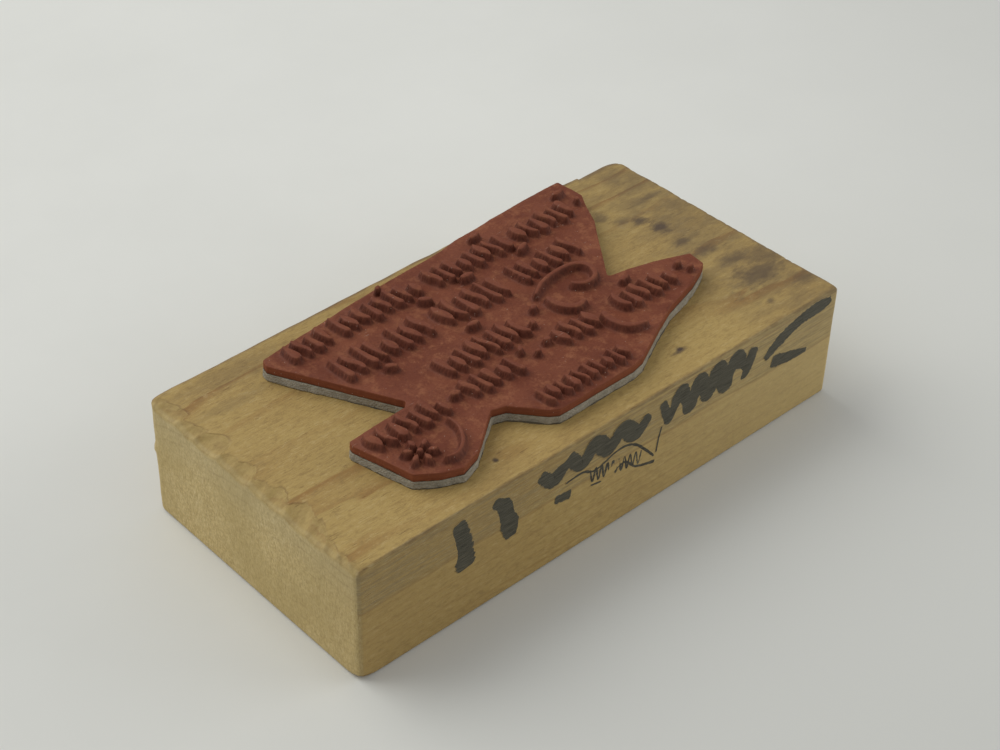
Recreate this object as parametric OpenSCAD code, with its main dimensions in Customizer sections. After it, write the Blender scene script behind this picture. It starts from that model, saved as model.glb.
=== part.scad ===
// Wood-mounted rubber stamp, lying with its printing side up.
//
// A block of softwood carries a cushion of foam, and the cushion carries a deep-moulded rubber die.
// An adhesive film on each face of the foam holds the three together. The block rests on z = 0, its
// length runs along X, and the raised marks of the die face +Z. Lengths are in millimetres.

/* [Block] */
// Length of the block, left to right
block_length = 101.6; // [80:0.2:130]
// Depth of the block at its left end, front to back
block_depth = 50.4; // [48:0.2:70]
// How much deeper the block is at its right end, where it is out of square
block_flare = 1.6; // [0:0.1:3]
// How far the right end leans inwards at its back corner
end_lean = 0.8; // [0:0.1:2]
// Height of the block
block_height = 22; // [12:0.5:40]
// Radius of the upright edges
upright_round = 2; // [0.5:0.1:4]
// Radius of the long back edges, which are worn most
back_round = 1.8; // [0.3:0.1:4]
// Radius of the front and end edges
edge_round = 0.6; // [0.2:0.1:2]

/* [Cushion] */
// Thickness of each adhesive film
film_thickness = 0.1; // [0.05:0.01:0.3]
// Thickness of the foam, at rest
foam_thickness = 1.3; // [0.8:0.1:4]

/* [Die] */
// Thickness of the rubber sheet, under the raised marks
sheet_thickness = 1.4; // [0.8:0.1:3]
// Height of the raised marks above the sheet
relief_height = 1.3; // [0.5:0.1:2]
// Radius at the corners of the trimmed outline
trim_round = 0.35; // [0.1:0.05:0.5]
// Rise of each row of marks, for one millimetre along X
row_slope = 0.012; // [-0.02:0.002:0.02]
// How far a mark leans to the left at its top, as a part of its height
mark_lean = 0.14; // [-0.2:0.02:0.2]
// Most that a mark's height, width, lean and foot change from one mark to the next
height_change = 0.10; // [0:0.01:0.15]
width_change = 0.14; // [0:0.01:0.2]
lean_change = 0.045; // [0:0.005:0.06]
foot_change = 0.25; // [0:0.05:0.4]

/* [Hidden] */

half_length = block_length / 2;
front_y = -(block_depth + block_flare) / 2;
left_back_y = front_y + block_depth;
right_back_y = left_back_y + block_flare;
back_angle = atan(block_flare / (block_length - end_lean));
film_z = block_height;
foam_z = film_z + film_thickness;
top_film_z = foam_z + foam_thickness;
die_z = top_film_z + film_thickness;
mark_root = 0.4;
marks_z = die_z + sheet_thickness - mark_root;
arc_steps = 4;
mark_steps = 6;
// Marks in rows lower than this are narrower too
full_row = 3.5;
beyond = 200;

// The trimmed outline of the die: an upper part that widens to the back, a short arm at the left
// and a long arm at the right, with a notch between the left arm and the middle.
die_outline = [
    [-34.2, 16.9], [-29.6, 17.5], [-9.6, 19.8], [5.2, 20.8], [8.6, 21.5], [25.4, 22.9], [33.7, 23.1],
    [34.1, 17.5], [32.2, 14.4], [30.4, 10.6], [25.4, 4.0], [21.0, -2.0],
    [24.4, -2.6], [29.4, -3.9], [34.0, -5.6], [35.8, -6.2], [35.4, -9.6], [33.9, -10.5],
    [30.4, -12.1], [22.7, -14.4], [18.4, -16.4], [10.4, -20.5], [8.0, -21.0],
    [-7.8, -21.2], [-9.2, -20.3], [-13.4, -15.4], [-15.8, -14.7],
    [-23.6, -20.5], [-27.2, -21.7], [-30.6, -20.3], [-33.8, -18.0],
    [-36.4, -7.4], [-36.2, -6.5], [-32.6, -6.2], [-25.0, -5.8], [-24.0, -4.8], [-34.6, 15.4]
];

// Each kind of brush mark is one curve, given by four control points in row heights, and its width
// in millimetres at the foot, the middle and the top. The marks are plain strokes that spell nothing.
blade = [[[0.05, 0], [-0.03, 0.33], [0.03, 0.67], [0, 1]], [1.25, 1.1, 0.75]];
leaf = [[[0.03, 0], [0.12, 0.3], [-0.12, 0.7], [0, 1]], [0.5, 1.55, 0.5]];
drop = [[[0, 0.04], [0.02, 0.35], [0.02, 0.65], [0.04, 1]], [1.6, 1.25, 0.55]];
bow = [[[0.08, 0], [-0.12, 0.25], [-0.12, 0.75], [0.06, 1]], [0.8, 1.2, 0.7]];
wave = [[[0.06, 0], [0.2, 0.35], [-0.2, 0.65], [-0.04, 1]], [0.8, 1.15, 0.9]];
bud = [[[0, 0.04], [0.04, 0.2], [0, 0.4], [-0.02, 0.62]], [0.9, 1.45, 0.8]];
flame = [[[0.02, 0], [-0.04, 0.3], [0, 0.6], [0.02, 0.96]], [0.55, 1.15, 1.4]];
KINDS = [blade, leaf, bow, drop, wave, blade, flame, bud, blade, leaf, wave];

// Bands of marks: first foot [x, y], height, number of marks, spacing, and the first mark's kind
bands = [
    [[-30.4, 13.2], 3.4, 4, 2.2, 3], [[-20.6, 13.5], 3.7, 8, 2.2, 0], [[-1.2, 13.3], 3.8, 8, 2.15, 4],
    [[17.6, 13.4], 3.7, 6, 2.15, 1],
    [[-26.8, 4.6], 4.8, 8, 2.3, 3], [[-6.4, 4.4], 4.9, 6, 2.35, 1], [[9.8, 5.0], 4.2, 6, 2.35, 5],
    [[-14.6, -5.2], 4.4, 8, 2.15, 6],
    [[-33.9, -11.0], 3.6, 7, 2.15, 1], [[-15.2, -11.1], 3.6, 5, 2.2, 4], [[4.0, -11.0], 3.7, 4, 2.15, 9],
    [[17.2, -11.0], 3.6, 6, 2.15, 2],
    [[-8.0, -19.6], 2.9, 10, 1.85, 0]
];

// Short dashes between the rows: centre [x, y], length, width and direction
dashes = [
    [[-10.0, 18.6], 1.4, 1.1, 30], [[11.2, 19.4], 2.6, 1.3, 8], [[30.4, 19.6], 2.8, 1.3, 4],
    [[31.6, 16.2], 1.3, 1.1, 60], [[3.0, 11.9], 2.8, 1.3, -6], [[15.2, 12.0], 2.8, 1.3, 20],
    [[-6.2, 11.4], 2.6, 1.3, -35], [[-21.0, 2.0], 2.4, 1.3, -35], [[-4.6, 1.8], 2.6, 1.3, -4],
    [[5.4, -1.2], 1.8, 1.2, 30], [[-17.9, -9.2], 2.0, 1.3, -5], [[-3.4, -7.6], 1.7, 1.1, 50],
    [[-1.6, -9.8], 1.2, 1.1, 0], [[1.4, -8.6], 1.6, 1.2, -20], [[21.8, -5.0], 2.4, 1.2, 10],
    [[31.4, -7.6], 1.6, 1.2, 25], [[32.2, -9.8], 1.2, 1.0, 0], [[2.6, -4.0], 1.5, 1.2, 70]
];

// Long swashes: their curve's points and their width at the start, the middle and the end
swashes = [
    [[[7.6, 0.8], [10.9, 2.7], [14.8, 3.4], [18.4, 3.0], [19.9, 0.8], [18.6, -1.7], [15.8, -2.0], [14.2, -0.3]],
     [0.8, 1.0, 0.9]],
    [[[8.6, -1.0], [8.9, -3.4], [10.6, -5.4], [12.8, -5.2]], [1.0, 1.4, 0.9]],
    [[[12.6, -9.6], [12.4, -12.0], [13.6, -14.6], [16.4, -15.6]], [1.2, 1.3, 0.6]],
    [[[-22.6, -12.6], [-22.6, -15.2], [-24.2, -18.0], [-26.6, -19.6], [-28.8, -19.1]], [0.5, 0.8, 0.5]]
];

// A small flower in the left arm
flower_centre = [-30.4, -15.6];
petal_count = 6;
petal_start = 1.05;
petal_length = 2.7;
petal_width = 1.05;
flower_heart = 0.55;

function unit(v) = v / norm(v);
function side(v) = [-v[1], v[0]] / norm(v);
function swing(a) = a > 180 ? a - 360 : (a < -180 ? a + 360 : a);

// The arc that rounds the corner at b, between its neighbours a and c
function corner_arc(a, b, c, r) =
    let (
        u = unit(a - b),
        v = unit(c - b),
        half = acos(u * v) / 2,
        centre = b + unit(u + v) * r / sin(half),
        first = b + u * r / tan(half) - centre,
        last = b + v * r / tan(half) - centre,
        start = atan2(first[1], first[0]),
        turn = swing(atan2(last[1], last[0]) - start)
    )
    [for (i = [0:arc_steps]) centre + r * [cos(start + turn * i / arc_steps), sin(start + turn * i / arc_steps)]];

// A closed outline with every corner rounded: radii holds one radius for each corner
function rounded(points, radii) =
    let (n = len(points))
    [for (i = [0:n - 1]) each corner_arc(points[(i + n - 1) % n], points[i], points[(i + 1) % n], radii[i])];

function all_same(points, r) = [for (p = points) r];

// A width that changes from its first value to its last, through its middle one
function width_at(w, t) = w[0] * (1 - t) + w[2] * t + (w[1] - (w[0] + w[2]) / 2) * 4 * t * (1 - t);

// A closed brush mark: both sides of a line of points, with a round cap at each end
function mark_outline(line, widths) =
    let (
        n = len(line) - 1,
        dirs = [for (i = [0:n]) unit(line[min(i + 1, n)] - line[max(i - 1, 0)])],
        r = [for (i = [0:n]) width_at(widths, i / n) / 2]
    )
    concat(
        [for (i = [0:n]) line[i] - side(dirs[i]) * r[i]],
        [for (a = [-45, 0, 45]) line[n] + r[n] * (cos(a) * dirs[n] + sin(a) * side(dirs[n]))],
        [for (i = [n:-1:0]) line[i] + side(dirs[i]) * r[i]],
        [for (a = [45, 0, -45]) line[0] - r[0] * (cos(a) * dirs[0] - sin(a) * side(dirs[0]))]
    );

function cubic(p, t) =
    pow(1 - t, 3) * p[0] + 3 * t * pow(1 - t, 2) * p[1] + 3 * t * t * (1 - t) * p[2] + pow(t, 3) * p[3];

// A smooth line through a list of points, with each stretch worked out from its neighbours
function through(points, steps) =
    let (n = len(points) - 1)
    concat(
        [for (k = [0:n - 1]) let (
                before = points[max(k - 1, 0)],
                after = points[min(k + 2, n)],
                a = points[k],
                b = points[k + 1]
            ) for (j = [0:steps - 1]) cubic([a, a + (b - before) / 6, b - (after - a) / 6, b], j / steps)],
        [points[n]]
    );

// A number from -1 to 1 that changes from one place to the next
function vary(place, turn) = sin(place[0] * 97 + place[1] * 61 + turn * 113);

function lean_over(p, height, lean) = [p[0] * height - p[1] * height * lean, p[1] * height];

module block_plan() {
    corners = [[-half_length, front_y], [half_length, front_y],
        [half_length - end_lean, right_back_y], [-half_length, left_back_y]];
    polygon(rounded(corners, [edge_round, edge_round, upright_round, upright_round]));
}

// The block seen from the front
module front_view() {
    corners = [[-half_length, 0], [half_length, 0], [half_length, block_height], [-half_length, block_height]];
    polygon(rounded(corners, all_same(corners, edge_round)));
}

// Seen from the right end, the block in front of its back edges
module front_edges_view() {
    corners = [[front_y, 0], [beyond, 0], [beyond, block_height], [front_y, block_height]];
    polygon(rounded(corners, all_same(corners, edge_round)));
}

// The same from the other side, up to the worn back edges
module back_edges_view() {
    corners = [[-beyond, 0], [0, 0], [0, block_height], [-beyond, block_height]];
    polygon(rounded(corners, all_same(corners, back_round)));
}

module wood_block() {
    color("#b39a68")
    intersection() {
        linear_extrude(block_height) block_plan();
        translate([0, beyond / 2, 0]) rotate([90, 0, 0]) linear_extrude(beyond) front_view();
        translate([-beyond / 2, 0, 0]) rotate([90, 0, 90]) linear_extrude(beyond) front_edges_view();
        translate([-half_length, left_back_y, 0]) rotate([0, 0, back_angle]) translate([-beyond / 2, 0, 0])
            rotate([90, 0, 90]) linear_extrude(2 * beyond) back_edges_view();
    }
}

module die_plan() {
    polygon(rounded(die_outline, all_same(die_outline, trim_round)));
}

module block_adhesive() {
    color("#3d3a2c")
    translate([0, 0, film_z]) linear_extrude(film_thickness) die_plan();
}

module foam_cushion() {
    color("#9b968a")
    translate([0, 0, foam_z]) linear_extrude(foam_thickness) die_plan();
}

module die_adhesive() {
    color("#5b5547")
    translate([0, 0, top_film_z]) linear_extrude(film_thickness) die_plan();
}

// One band: a row of marks whose kinds follow each other in turn, each a little unlike the last
module band(start, height, count, spacing, first_kind) {
    for (i = [0:count - 1]) {
        even_foot = start + [i * spacing, (start[0] + i * spacing) * row_slope];
        foot = even_foot + [0, foot_change * vary(even_foot, 1)];
        tall = height * (1 + height_change * vary(even_foot, 2));
        lean = mark_lean + lean_change * vary(even_foot, 3);
        kind = KINDS[(first_kind + i) % len(KINDS)];
        line = [for (k = [0:mark_steps]) foot + lean_over(cubic(kind[0], k / mark_steps), tall, lean)];
        wide = min(1, height / full_row) * (1 + width_change * vary(even_foot, 4));
        polygon(mark_outline(line, kind[1] * wide));
    }
}

module dash(centre, length, width, direction) {
    reach = (length - width) / 2 + 0.1;
    along = [cos(direction), sin(direction)];
    line = [for (k = [-1:1]) centre + reach * k * along];
    polygon(mark_outline(line, [width * 0.8, width, width * 0.7]));
}

module flower() {
    for (i = [0:petal_count - 1]) {
        turn = 90 + i * 360 / petal_count;
        along = [cos(turn), sin(turn)];
        line = [for (k = [0:4]) flower_centre + (petal_start + (petal_length - petal_start) * k / 4) * along];
        polygon(mark_outline(line, [0.3, petal_width, 0.3]));
    }
    translate(flower_centre) circle(r = flower_heart, $fn = 24);
}

module raised_marks() {
    for (b = bands) band(b[0], b[1], b[2], b[3], b[4]);
    for (d = dashes) dash(d[0], d[1], d[2], d[3]);
    for (s = swashes) polygon(mark_outline(through(s[0], 4), s[1]));
    flower();
}

module rubber_die() {
    color("#7d4335")
    union() {
        translate([0, 0, die_z]) linear_extrude(sheet_thickness) die_plan();
        translate([0, 0, marks_z]) linear_extrude(mark_root + relief_height) raised_marks();
    }
}

wood_block();
block_adhesive();
foam_cushion();
die_adhesive();
rubber_die();
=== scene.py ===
import bpy
import numpy as np
from mathutils import Matrix, Vector
from mathutils.geometry import delaunay_2d_cdt


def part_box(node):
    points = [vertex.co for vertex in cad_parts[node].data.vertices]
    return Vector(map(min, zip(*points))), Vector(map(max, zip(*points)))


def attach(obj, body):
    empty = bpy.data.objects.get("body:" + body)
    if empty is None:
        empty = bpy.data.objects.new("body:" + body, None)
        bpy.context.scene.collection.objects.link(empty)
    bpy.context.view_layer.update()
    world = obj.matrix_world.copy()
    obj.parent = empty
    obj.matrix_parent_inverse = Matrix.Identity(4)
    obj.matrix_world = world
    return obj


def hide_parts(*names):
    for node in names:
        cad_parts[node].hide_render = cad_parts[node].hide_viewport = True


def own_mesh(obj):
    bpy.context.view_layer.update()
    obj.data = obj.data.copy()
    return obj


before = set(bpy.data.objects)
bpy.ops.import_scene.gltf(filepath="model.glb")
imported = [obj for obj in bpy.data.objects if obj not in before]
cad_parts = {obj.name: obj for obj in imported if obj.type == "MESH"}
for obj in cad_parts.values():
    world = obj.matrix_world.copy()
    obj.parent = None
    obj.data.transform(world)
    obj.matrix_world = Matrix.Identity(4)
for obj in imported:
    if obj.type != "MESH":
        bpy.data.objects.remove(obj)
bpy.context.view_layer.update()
MM = 0.001

# ----------------------------------------------------------
# The view. A camera with a long lens looks down at the near left corner of the block from about a
# third of a metre away, turned a little about its own line of sight.
# ----------------------------------------------------------
view_turn, view_rise, view_roll = np.radians([-43.193, 38.896, 1.444])
view_distance = 339.016
view_lens = 74.51
view_aim = (-0.3785, 11.393)
view_shift_back = 0.6

look_back = np.array([
    np.sin(view_turn) * np.cos(view_rise), -np.cos(view_turn) * np.cos(view_rise), np.sin(view_rise),
])
level_right = np.cross(-look_back, (0, 0, 1))
level_right /= np.linalg.norm(level_right)
level_up = np.cross(level_right, -look_back)
view_right = np.cos(view_roll) * level_right + np.sin(view_roll) * level_up
view_up = np.cos(view_roll) * level_up - np.sin(view_roll) * level_right
view_place = look_back * view_distance + view_right * view_aim[0] + view_up * view_aim[1]
view_place[1] -= view_shift_back

camera = bpy.data.objects.new("camera", bpy.data.cameras.new("camera"))
camera.data.sensor_width = 36
camera.data.lens = view_lens
camera.data.clip_start = 0.01
camera.data.clip_end = 20
view_axes = np.stack([view_right, view_up, look_back, view_place * MM], axis=1)
camera.matrix_world = Matrix([*view_axes.tolist(), [0, 0, 0, 1]])
bpy.context.scene.collection.objects.link(camera)
bpy.context.scene.camera = camera

# ----------------------------------------------------------
# The block. A plank of pale pine, sawn to length, its long edges broken by a worn cutter. The saw
# tore a row of scallops out of the top left edge, and years of ink pads stained the right end.
# ----------------------------------------------------------
block_low, block_high = (np.array(corner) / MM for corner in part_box("wood_block"))
half_length = block_high[0]
front_y, right_back_y = block_low[1], block_high[1]
block_flare = 1.6
left_back_y = right_back_y - block_flare
end_lean = 0.8
block_top = block_high[2]
plan_spacing = 0.34
corner_radii = (0.9, 0.8, 3.0, 2.2)


def soft_noise(points, size, seed):
    """Smooth noise from about -1 to 1: the mean of sixteen cosine waves of random direction and phase,
    whose lengths lie around the given size."""
    points = np.asarray(points, float)
    draw = np.random.default_rng(seed)
    waves = draw.normal(size=(16, points.shape[-1]))
    waves /= np.linalg.norm(waves, axis=1, keepdims=True)
    waves *= 2 * np.pi / (size * draw.uniform(0.6, 1.7, (16, 1)))
    phases = draw.uniform(0, 2 * np.pi, 16)
    return np.cos(points @ waves.T + phases).sum(-1) / 4.5


def ease(value, low, high):
    """0 below low, 1 above high, and a smooth S-curve between them."""
    share = np.clip((value - low) / (high - low), 0, 1)
    return share * share * (3 - 2 * share)


def rounded_outline(corners, radii, spacing):
    """A closed outline of points and outward normals: an arc of its radius at each corner, and equal
    steps of about the spacing along each side between the arcs."""
    points, normals, arcs = [], [], []
    count = len(corners)
    for k in range(count):
        corner = corners[k]
        back = corners[k - 1] - corner
        ahead = corners[(k + 1) % count] - corner
        back, ahead = back / np.linalg.norm(back), ahead / np.linalg.norm(ahead)
        half = np.arccos(back @ ahead) / 2
        centre = corner + (back + ahead) / np.linalg.norm(back + ahead) * radii[k] / np.sin(half)
        start = np.arctan2(back[0], -back[1])
        turns = start + np.linspace(0, np.pi - 2 * half, max(5, int(radii[k] * 2 / spacing)))
        normal = np.stack([np.cos(turns), np.sin(turns)], axis=1)
        arcs.append((centre + radii[k] * normal, normal))
    for k in range(count):
        arc, normal = arcs[k]
        following = arcs[(k + 1) % count][0][0]
        steps = int(np.linalg.norm(following - arc[-1]) / spacing)
        share = np.linspace(0, 1, steps + 1)[1:-1, None]
        points += [arc, arc[-1] + share * (following - arc[-1])]
        normals += [normal, np.repeat(normal[-1:], len(share), axis=0)]
    return np.concatenate(points), np.concatenate(normals)


def closed_edges(count, first=0):
    """The pairs of neighbouring point numbers round a closed outline of count points."""
    step = np.arange(count)
    return first + np.column_stack([step, (step + 1) % count])


def ring_faces(rows, around, first=0):
    """Quads that join each ring of points to the next one up, all the way round."""
    row, step = np.meshgrid(np.arange(rows - 1), np.arange(around), indexing="ij")
    along = (step + 1) % around
    low, high = first + row * around, first + (row + 1) * around
    return np.stack([low + step, low + along, high + along, high + step], axis=-1).reshape(-1, 4)


def make_piece(name, points, faces, material, body, marks=None):
    """A smooth-shaded mesh from points in millimetres, with a float attribute for each entry of marks,
    which rides on a body."""
    mesh = bpy.data.meshes.new(name)
    mesh.from_pydata((np.asarray(points) * MM).tolist(), [], faces)
    mesh.shade_smooth()
    for key, values in (marks or {}).items():
        attribute = mesh.attributes.new(key, "FLOAT", "POINT")
        attribute.data.foreach_set("value", np.asarray(values, np.float32))
    mesh.materials.append(material)
    piece = bpy.data.objects.new(name, mesh)
    bpy.context.scene.collection.objects.link(piece)
    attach(piece, body)
    return piece


# How far the top edge is worn at the front, back, left and right: over the top, and down the side
worn_reach = np.array([0.55, 1.7, 0.5, 1.2])
worn_drop = np.array([0.50, 1.5, 0.4, 1.0])
# Scallops torn out of the top left edge: place along Y, half width, reach over the top, depth
torn_scallops = np.array([
    (22.6, 2.2, 1.6, 0.65), (18.9, 2.9, 2.6, 0.95), (14.3, 2.2, 2.4, 0.95), (9.7, 3.4, 3.7, 1.15),
    (5.0, 1.9, 1.9, 0.80), (1.5, 2.7, 2.9, 1.05), (-2.7, 2.3, 2.0, 0.85), (-7.4, 3.1, 3.0, 1.05),
    (-12.4, 2.4, 2.2, 0.95), (-16.5, 2.7, 2.7, 0.90), (-20.5, 1.9, 1.4, 0.70), (-23.6, 1.9, 1.0, 0.50),
])
torn_skews = 0.38 * np.sin(torn_scallops[:, 0] * 1.9)
# The back edge is worn lower to the right of the step, and a splinter stands out at the back left corner
step_x = 41.4
splinter_height = 12.3
# How far the rings of points lie in from the plan on the underside, and on the flat of the top
under_insets = (20, 8, 3)
top_insets = (5.2, 8, 13, 18, 22)


def block_surface():
    """The closed skin of the block. One parameter runs round the plan, and the other from the middle of
    the underside out to the foot, up the side, over the worn top edge and in to the middle of the top.
    The edge is a quarter ellipse whose reach and drop change along the plan, and a flat slope where it is
    torn."""
    corners = np.array([
        (-half_length, front_y), (half_length, front_y),
        (half_length - end_lean, right_back_y), (-half_length, left_back_y),
    ])
    plan, normal = rounded_outline(corners, corner_radii, plan_spacing)
    around = len(plan)
    x, y = plan.T
    along = (x + half_length) / (2 * half_length)
    back_y = left_back_y + along * (right_back_y - left_back_y)
    middle_y, half_depth = (front_y + back_y) / 2, (back_y - front_y) / 2
    inward = -np.stack([x / half_length, (y - middle_y) / half_depth], axis=1)
    is_front, is_back = np.clip(-normal[:, 1], 0, 1) ** 2, np.clip(normal[:, 1], 0, 1) ** 2
    is_left, is_right = np.clip(-normal[:, 0], 0, 1) ** 2, np.clip(normal[:, 0], 0, 1) ** 2

    wear = soft_noise(plan, 6, 3)
    nick = np.clip(soft_noise(plan, 1.7, 4), 0, 1)
    sides = np.stack([is_front, is_back, is_left, is_right])
    reach, drop = worn_reach @ sides, worn_drop @ sides
    reach *= 1 + 0.10 * wear + 0.20 * nick * (is_front + is_right)
    drop *= 1 + 0.08 * wear + 0.20 * nick * (is_front + is_right)
    lowered = is_back * ease(x, step_x - 0.35, step_x + 0.1)
    reach += 1.1 * lowered
    drop += 0.5 * lowered
    near_corner = np.exp(-((x + half_length) ** 2 + (y - front_y) ** 2) / 3.0)
    reach += 0.7 * near_corner
    drop += 0.6 * near_corner
    places, widths, reaches, depths = torn_scallops.T
    away = (y[:, None] - places) / widths
    away += torn_skews * (1 - away ** 2)
    bowl = np.clip(1 - away ** 2, 0, 1) ** 0.6
    ragged = 1 + 0.07 * soft_noise(plan, 1.3, 9)
    torn_reach = (bowl * reaches).max(1) * ragged * ease(is_left, 0.3, 0.8)
    torn_drop = (bowl * depths).max(1) * ease(is_left, 0.3, 0.8)
    torn = ease(torn_reach, 0.3, 0.9)
    reach, drop = np.maximum(reach, torn_reach), np.maximum(drop, torn_drop + 0.25 * is_left)
    foot = 0.6 + 1.0 * near_corner

    # The edge mark holds how much painted shade the material lays on each point: along the rounded foot,
    # along the worn top edge and in a thin line round the inside of each scallop.
    rings, torn_mark, edge_shade_mark = [], [], []

    def add_ring(inset, height, outward=0.0, torn_here=0.0, edge_shade_here=0.0):
        inset, height, outward, edge_shade_here = (
            value * np.ones(around) for value in (inset, height, outward, edge_shade_here)
        )
        rings.append(np.column_stack([plan + inward * inset[:, None] + normal * outward[:, None], height]))
        torn_mark.append(torn_here * torn)
        edge_shade_mark.append(edge_shade_here)

    for inset in under_insets:
        add_ring(inset, 0)
    for turn in np.linspace(0, np.pi / 2, 6):
        add_ring(foot * (1 - np.sin(turn)), foot * (1 - np.cos(turn)), edge_shade_here=np.sin(2 * turn))
    for share in np.linspace(0, 1, 28)[1:-1]:
        height = foot + share * (block_top - drop - foot)
        skin = np.column_stack([plan, height])
        sawn = 0.035 * soft_noise(skin, 2.5, 5) * (is_left + is_right) + 0.03 * soft_noise(skin, 9, 6)
        splinter = 0.55 * np.exp(-((height - splinter_height) / 0.7) ** 2)
        splinter *= np.exp(-((x + half_length) ** 2 + (y - left_back_y + 0.3) ** 2) / 1.1)
        frayed = 0.16 * np.clip(soft_noise(skin, 1.1, 7), 0, 1) * is_left * ease(-height, -5, -1)
        add_ring(0, height, sawn + splinter + frayed * is_back)
    for share in np.linspace(0, 1, 13):
        turn = share * np.pi / 2
        inset = reach * ((1 - np.cos(turn)) * (1 - torn) + share * torn)
        sunk = drop * ((1 - np.sin(turn)) * (1 - torn) + (1 - share) ** 1.45 * torn)
        rough = 0.05 * torn * np.sin(2 * turn) * soft_noise(np.column_stack([plan, inset]), 1.6, 8)
        lip = 0.06 * torn * (share > 0.9)
        add_ring(inset, block_top - sunk + rough - lip, torn_here=1, edge_shade_here=np.sin(2 * turn) ** 0.5)
    # A thin line of painted shadow runs round the inside of each scallop.
    for extra, shadow_line in ((0.06, 1.0), (0.25, 0.8), (0.5, 0.0), (0.8, 0.0)):
        add_ring(reach + extra, block_top, edge_shade_here=shadow_line * torn)
    for inset in top_insets:
        add_ring(inset, block_top)
    poles = np.array([(0, 0, 0), (0, 0, block_top)])
    points = np.concatenate([*rings, poles])
    below, above = len(points) - 2, len(points) - 1
    fans = np.concatenate([
        np.column_stack([np.full(around, below), closed_edges(around)[:, ::-1]]),
        np.column_stack([np.full(around, above), closed_edges(around, (len(rings) - 1) * around)]),
    ])
    faces = ring_faces(len(rings), around).tolist() + fans.tolist()
    marks = {
        "torn": np.append(np.concatenate(torn_mark), [0, 0]),
        "edge": np.append(np.concatenate(edge_shade_mark), [0, 0]),
    }
    return points, faces, marks


def add_node(tree, kind, inputs=None, **settings):
    """Adds a shader node. Settings are the node's own properties. Each input is either linked from a
    socket or set to a plain value."""
    made = tree.nodes.new(kind)
    for key, value in settings.items():
        setattr(made, key, value)
    for key, value in (inputs or {}).items():
        if isinstance(value, bpy.types.NodeSocket):
            tree.links.new(value, made.inputs[key])
        else:
            made.inputs[key].default_value = value
    return made


def combine(tree, operation, *values):
    """The result of one arithmetic node on the values."""
    return add_node(tree, "ShaderNodeMath", dict(enumerate(values)), operation=operation).outputs[0]


def times(tree, first, second):
    """Two values multiplied."""
    return combine(tree, "MULTIPLY", first, second)


def combine_places(tree, operation, *places):
    """The result of one arithmetic node on places, axis by axis."""
    return add_node(tree, "ShaderNodeVectorMath", dict(enumerate(places)), operation=operation).outputs[0]


def split(tree, place):
    """The X, Y and Z of a place."""
    return add_node(tree, "ShaderNodeSeparateXYZ", {0: place}).outputs


def read_mark(tree, name):
    """The number that a piece's mesh holds at each point under a name."""
    return add_node(tree, "ShaderNodeAttribute", attribute_name=name).outputs["Fac"]


def grain(tree, place, scale, detail=2.0, roughness=0.5, offset=(0, 0, 0)):
    """Noise from 0 to 1 at a place in millimetres, with a scale for each axis."""
    stretched = combine_places(tree, "MULTIPLY_ADD", place, scale, offset)
    return add_node(tree, "ShaderNodeTexNoise", {
        "Vector": stretched, "Scale": 1.0, "Detail": detail, "Roughness": roughness,
    }).outputs[0]


def from_spot(tree, place, scale):
    """How far a place is from the nearest of many scattered spots, a larger scale for closer spots."""
    return add_node(tree, "ShaderNodeTexVoronoi", {
        "Vector": place, "Scale": scale, "Randomness": 1.0,
    }).outputs["Distance"]


def window(tree, value, low, high, out_low=0.0, out_high=1.0):
    """A smooth S-curve from out_low, where the value is low, to out_high, where it is high."""
    return add_node(tree, "ShaderNodeMapRange", {
        "Value": value, "From Min": low, "From Max": high, "To Min": out_low, "To Max": out_high,
    }, interpolation_type="SMOOTHSTEP").outputs[0]


def tint(tree, share, under, over):
    """Two colours mixed: the share of the second one that lies over the first."""
    return add_node(tree, "ShaderNodeMix", {0: share, 6: under, 7: over}, data_type="RGBA").outputs[2]


def coat(tree, colour, coats):
    """A colour with coats over it. Each coat is a pattern, the pattern's values where the coat is absent
    and where it is full, the share of the surface that it hides there, and its colour."""
    for pattern, absent, full, share, over in coats:
        colour = tint(tree, window(tree, pattern, absent, full, 0.0, share), colour, (*over, 1))
    return colour


def new_group(name, inputs, outputs):
    """A node group with named sockets. Inputs and outputs are name, socket type pairs."""
    tree = bpy.data.node_groups.new(name, "ShaderNodeTree")
    for key, kind in inputs:
        tree.interface.new_socket(name=key, in_out="INPUT", socket_type=kind)
    for key, kind in outputs:
        tree.interface.new_socket(name=key, in_out="OUTPUT", socket_type=kind)
    return tree, tree.nodes.new("NodeGroupInput").outputs, tree.nodes.new("NodeGroupOutput")


def use_group(tree, group, inputs):
    """Places a node group in a material and returns its outputs."""
    return add_node(tree, "ShaderNodeGroup", inputs, node_tree=group).outputs


def new_material(name, roughness, specular):
    """A material with a Principled surface. Returns it, its node tree, the shader and the place in
    millimetres."""
    material = bpy.data.materials.new(name)
    material.use_nodes = True
    tree = material.node_tree
    shader = next(node for node in tree.nodes if node.type == "BSDF_PRINCIPLED")
    shader.inputs["Roughness"].default_value = roughness
    shader.inputs["Specular IOR Level"].default_value = specular
    coordinates = tree.nodes.new("ShaderNodeTexCoord").outputs["Object"]
    return material, tree, shader, combine_places(tree, "MULTIPLY", coordinates, (1 / MM, 1 / MM, 1 / MM))


def roughen(tree, shader, height, depth):
    """Bumps the shader's surface by a height from 0 to 1, which stands for a depth in millimetres."""
    bump = add_node(tree, "ShaderNodeBump", {"Height": height, "Distance": depth * MM, "Strength": 1.0})
    tree.links.new(bump.outputs[0], shader.inputs["Normal"])


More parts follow.
